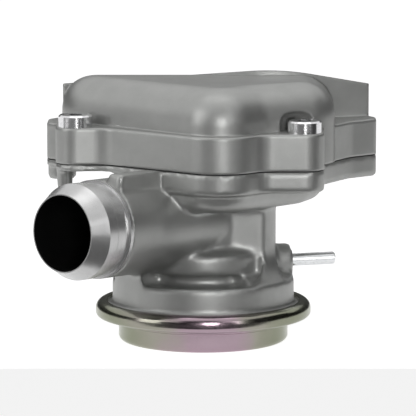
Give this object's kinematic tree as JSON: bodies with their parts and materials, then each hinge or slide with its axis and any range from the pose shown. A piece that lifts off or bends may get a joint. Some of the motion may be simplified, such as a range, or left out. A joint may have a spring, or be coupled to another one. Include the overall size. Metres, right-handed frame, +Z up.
{
  "type": "secondary air non-return valve",
  "caption": "Cast secondary air valve with hose inlet, vacuum can with nipple, screwed cover and sloping outlet face.",
  "frame": {"origin": "centre of the vacuum can's flat base, on the axis of the shut-off valve", "axes": "+Z up along the shut-off valve's stem, +Y to the side that the outlet face slopes down to, +X along the outlet face, towards the vacuum nipple"},
  "size_m": [0.1061, 0.089, 0.0832],
  "materials": {
    "casting": "matt as cast",
    "turned_aluminium": "turned bright",
    "plated_steel": "zinc plated",
    "steel": "bright",
    "brass": "turned",
    "gasket": "matt",
    "rubber": "matt"
  },
  "bodies": {
    "housing": {"lower_housing": "casting", "upper_cover": "casting", "cover_gasket": "gasket", "inlet_spigot": "turned_aluminium", "vacuum_nipple": "steel", "vacuum_can": "plated_steel", "diaphragm": "rubber", "return_spring": "steel", "valve_seat": "brass", "stem_guide": "brass", "stem_seal": "rubber", "check_plate": "turned_aluminium", "check_post": "steel", "check_spring": "steel", "front_cover_screws": "plated_steel", "rear_cover_screws": "plated_steel"},
    "shutoff_valve": {"valve_stem": "steel", "diaphragm_upper_plate": "plated_steel", "diaphragm_lower_plate": "plated_steel", "valve_disc": "steel", "valve_seal": "rubber", "valve_nut": "plated_steel"},
    "check_valve": {"check_disc": "steel", "check_seal": "rubber"}
  },
  "joints": [
    {"name": "shutoff_lift", "type": "slide", "parent": "housing", "child": "shutoff_valve", "axis": [0, 0, 1], "range_m": [0, 0.0035], "stiffness_N_per_m": 1500, "springref_m": -0.008, "deforming": ["return_spring", "diaphragm"]},
    {"name": "check_lift", "type": "slide", "parent": "housing", "child": "check_valve", "axis": [0, 0, 1], "range_m": [0, 0.0035], "stiffness_N_per_m": 30, "springref_m": -0.005, "deforming": ["check_spring"]}
  ]
}
